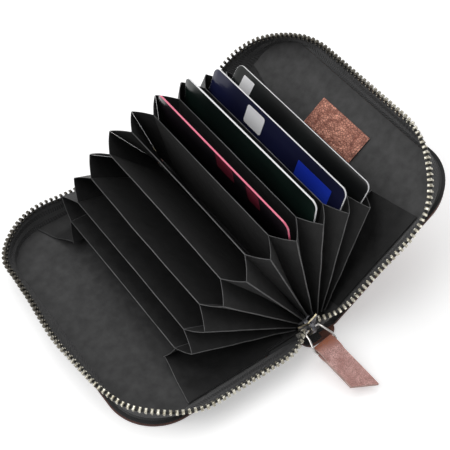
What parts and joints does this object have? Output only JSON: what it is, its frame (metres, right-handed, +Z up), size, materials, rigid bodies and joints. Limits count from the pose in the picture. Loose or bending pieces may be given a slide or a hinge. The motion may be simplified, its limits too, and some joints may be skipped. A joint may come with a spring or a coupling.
{
  "type": "accordion card wallet",
  "caption": "Zip-around leather card wallet lying open, with a fan of pleated pockets on its spine, cards in some of them, and a strap pull on the slider.",
  "frame": {"origin": "Middle of the underside of the spine, where the open wallet rests.", "axes": "Y along the spine with the slider at -Y, X across it from the back cover (-X) to the raised front cover (+X), Z up."},
  "size_m": [0.1597, 0.1528, 0.0613],
  "materials": {
    "brown_leather": "satin",
    "grey_board": "matte",
    "black_lining": "matte",
    "black_pocket_fabric": "satin",
    "black_zip_tape": "matte",
    "pale_antique_brass": "satin",
    "bright_slider_metal": "polished",
    "plum_card": "gloss",
    "green_card": "gloss",
    "navy_card": "gloss",
    "black_card": "gloss"
  },
  "bodies": {
    "spine": {"spine_leather": "brown_leather", "spine_stiffener": "grey_board", "spine_lining": "black_lining", "accordion_base_strip": "black_pocket_fabric", "zip_slider": "bright_slider_metal", "zip_bottom_stop": "pale_antique_brass", "left_zip_near_end": "black_zip_tape", "right_zip_near_end": "black_zip_tape", "left_zip_far_end": "black_zip_tape", "right_zip_far_end": "black_zip_tape", "left_top_stop": "pale_antique_brass", "right_top_stop": "pale_antique_brass", "pocket_gusset_00": "black_pocket_fabric", "pocket_gusset_01": "black_pocket_fabric", "pocket_gusset_02": "black_pocket_fabric", "pocket_gusset_03": "black_pocket_fabric", "pocket_gusset_04": "black_pocket_fabric", "pocket_gusset_05": "black_pocket_fabric", "pocket_gusset_10": "black_pocket_fabric"},
    "left_cover": {"left_cover_leather": "brown_leather", "left_stiffener": "grey_board", "left_lining": "black_lining", "left_zip_tape": "black_zip_tape", "left_tooth_chain": "pale_antique_brass", "back_flange_near": "black_pocket_fabric", "back_flange_far": "black_pocket_fabric"},
    "right_cover": {"right_cover_leather": "brown_leather", "right_stiffener": "grey_board", "right_lining": "black_lining", "right_zip_tape": "black_zip_tape", "right_tooth_chain": "pale_antique_brass", "lining_patch": "brown_leather", "front_flange_near": "black_pocket_fabric", "front_flange_far": "black_pocket_fabric"},
    "divider_00": {"divider_00": "black_pocket_fabric"},
    "divider_01": {"divider_01": "black_pocket_fabric"},
    "divider_02": {"divider_02": "black_pocket_fabric"},
    "divider_03": {"divider_03": "black_pocket_fabric"},
    "divider_04": {"divider_04": "black_pocket_fabric"},
    "divider_05": {"divider_05": "black_pocket_fabric"},
    "divider_06": {"divider_06": "black_pocket_fabric"},
    "divider_07": {"divider_07": "black_pocket_fabric"},
    "divider_08": {"divider_08": "black_pocket_fabric"},
    "divider_09": {"divider_09": "black_pocket_fabric"},
    "pocket_6": {"pocket_gusset_06": "black_pocket_fabric"},
    "card_1": {"card_1": "plum_card"},
    "pocket_7": {"pocket_gusset_07": "black_pocket_fabric"},
    "card_2": {"card_2": "green_card"},
    "pocket_8": {"pocket_gusset_08": "black_pocket_fabric"},
    "card_3": {"card_3": "navy_card"},
    "pocket_9": {"pocket_gusset_09": "black_pocket_fabric"},
    "card_4": {"card_4": "black_card"},
    "bail": {"pull_bail": "bright_slider_metal"},
    "pull": {"pull_tab": "brown_leather"}
  },
  "joints": [
    {"name": "cover_fold", "type": "hinge", "parent": "spine", "child": "right_cover", "pos_m": [0.008, 0, 0.0026], "axis": [0, 1, 0], "range_deg": [-51.3, 0], "deforming": ["right_zip_near_end", "right_zip_far_end", "pocket_gusset_10"]},
    {"name": "back_cover_fold", "type": "hinge", "parent": "spine", "child": "left_cover", "pos_m": [-0.008, 0, 0.0026], "axis": [0, 1, 0], "range_deg": [0, 90], "deforming": ["left_zip_near_end", "left_zip_far_end", "pocket_gusset_00"]},
    {"name": "divider_00_fold", "type": "hinge", "parent": "spine", "child": "divider_00", "pos_m": [-0.00667, 0.0017, 0.0041], "axis": [0, 1, 0], "range_deg": [0, 77.4]},
    {"name": "divider_01_fold", "type": "hinge", "parent": "spine", "child": "divider_01", "pos_m": [-0.00519, 0.0017, 0.0041], "axis": [0, 1, 0], "range_deg": [0, 66.4], "deforming": ["pocket_gusset_01"]},
    {"name": "divider_02_fold", "type": "hinge", "parent": "spine", "child": "divider_02", "pos_m": [-0.00371, 0.0017, 0.0041], "axis": [0, 1, 0], "range_deg": [0, 52.7], "deforming": ["pocket_gusset_02"]},
    {"name": "divider_03_fold", "type": "hinge", "parent": "spine", "child": "divider_03", "pos_m": [-0.00222, 0.0017, 0.0041], "axis": [0, 1, 0], "range_deg": [0, 39.2], "deforming": ["pocket_gusset_03"]},
    {"name": "divider_04_fold", "type": "hinge", "parent": "spine", "child": "divider_04", "pos_m": [-0.00074, 0.0017, 0.0041], "axis": [0, 1, 0], "range_deg": [0, 25.9], "deforming": ["pocket_gusset_04"]},
    {"name": "divider_05_fold", "type": "hinge", "parent": "spine", "child": "divider_05", "pos_m": [0.00074, 0.0017, 0.0041], "axis": [0, 1, 0], "range_deg": [0, 14.4], "deforming": ["pocket_gusset_05"]},
    {"name": "divider_06_fold", "type": "hinge", "parent": "spine", "child": "divider_06", "pos_m": [0.00222, 0.0017, 0.0041], "axis": [0, 1, 0], "range_deg": [0, 1.1]},
    {"name": "divider_07_fold", "type": "hinge", "parent": "spine", "child": "divider_07", "pos_m": [0.00371, 0.0017, 0.0041], "axis": [0, 1, 0], "range_deg": [-12.2, 0]},
    {"name": "divider_08_fold", "type": "hinge", "parent": "spine", "child": "divider_08", "pos_m": [0.00519, 0.0017, 0.0041], "axis": [0, 1, 0], "range_deg": [-25.4, 0]},
    {"name": "divider_09_fold", "type": "hinge", "parent": "spine", "child": "divider_09", "pos_m": [0.00667, 0.0017, 0.0041], "axis": [0, 1, 0], "range_deg": [-36.3, 0]},
    {"name": "pocket_6_fold", "type": "hinge", "parent": "spine", "child": "pocket_6", "pos_m": [0.00148, 0.0017, 0.0041], "axis": [0, 1, 0], "range_deg": [0, 9], "deforming": ["pocket_gusset_06"]},
    {"name": "card_1_slide", "type": "slide", "parent": "pocket_6", "child": "card_1", "axis": [-0.1564, 0, 0.9877], "range_m": [0, 0.05]},
    {"name": "pocket_7_fold", "type": "hinge", "parent": "spine", "child": "pocket_7", "pos_m": [0.00296, 0.0017, 0.0041], "axis": [0, 1, 0], "range_deg": [-4.4, 0], "deforming": ["pocket_gusset_07"]},
    {"name": "card_2_slide", "type": "slide", "parent": "pocket_7", "child": "card_2", "axis": [0.0767, 0, 0.9971], "range_m": [0, 0.05]},
    {"name": "pocket_8_fold", "type": "hinge", "parent": "spine", "child": "pocket_8", "pos_m": [0.00445, 0.0017, 0.0041], "axis": [0, 1, 0], "range_deg": [-18.1, 0], "deforming": ["pocket_gusset_08"]},
    {"name": "card_3_slide", "type": "slide", "parent": "pocket_8", "child": "card_3", "axis": [0.3107, 0, 0.9505], "range_m": [0, 0.05]},
    {"name": "pocket_9_fold", "type": "hinge", "parent": "spine", "child": "pocket_9", "pos_m": [0.00593, 0.0017, 0.0041], "axis": [0, 1, 0], "range_deg": [-30.1, 0], "deforming": ["pocket_gusset_09"]},
    {"name": "card_4_slide", "type": "slide", "parent": "pocket_9", "child": "card_4", "axis": [0.5015, 0, 0.8652], "range_m": [0, 0.05]},
    {"name": "bail_swing", "type": "hinge", "parent": "spine", "child": "bail", "pos_m": [-0.0052, -0.05865, 0.011], "axis": [0.9925, 0.1219, 0], "range_deg": [-50, 30]},
    {"name": "pull_swing", "type": "hinge", "parent": "bail", "child": "pull", "pos_m": [-0.00412, -0.06742, 0.00779], "axis": [0.9925, 0.1219, 0], "range_deg": [-25, 60]}
  ],
  "couplings": [
    {"joint": "back_cover_fold", "follows": "cover_fold", "ratio": -1.7544},
    {"joint": "divider_00_fold", "follows": "cover_fold", "ratio": -1.5088},
    {"joint": "divider_01_fold", "follows": "cover_fold", "ratio": -1.2943},
    {"joint": "divider_02_fold", "follows": "cover_fold", "ratio": -1.0273},
    {"joint": "divider_03_fold", "follows": "cover_fold", "ratio": -0.76413},
    {"joint": "divider_04_fold", "follows": "cover_fold", "ratio": -0.50487},
    {"joint": "divider_05_fold", "follows": "cover_fold", "ratio": -0.2807},
    {"joint": "divider_06_fold", "follows": "cover_fold", "ratio": -0.021442},
    {"joint": "divider_07_fold", "follows": "cover_fold", "ratio": 0.23782},
    {"joint": "divider_08_fold", "follows": "cover_fold", "ratio": 0.49513},
    {"joint": "divider_09_fold", "follows": "cover_fold", "ratio": 0.7076},
    {"joint": "pocket_6_fold", "follows": "cover_fold", "ratio": -0.17544},
    {"joint": "pocket_7_fold", "follows": "cover_fold", "ratio": 0.08577},
    {"joint": "pocket_8_fold", "follows": "cover_fold", "ratio": 0.35283},
    {"joint": "pocket_9_fold", "follows": "cover_fold", "ratio": 0.58674}
  ]
}
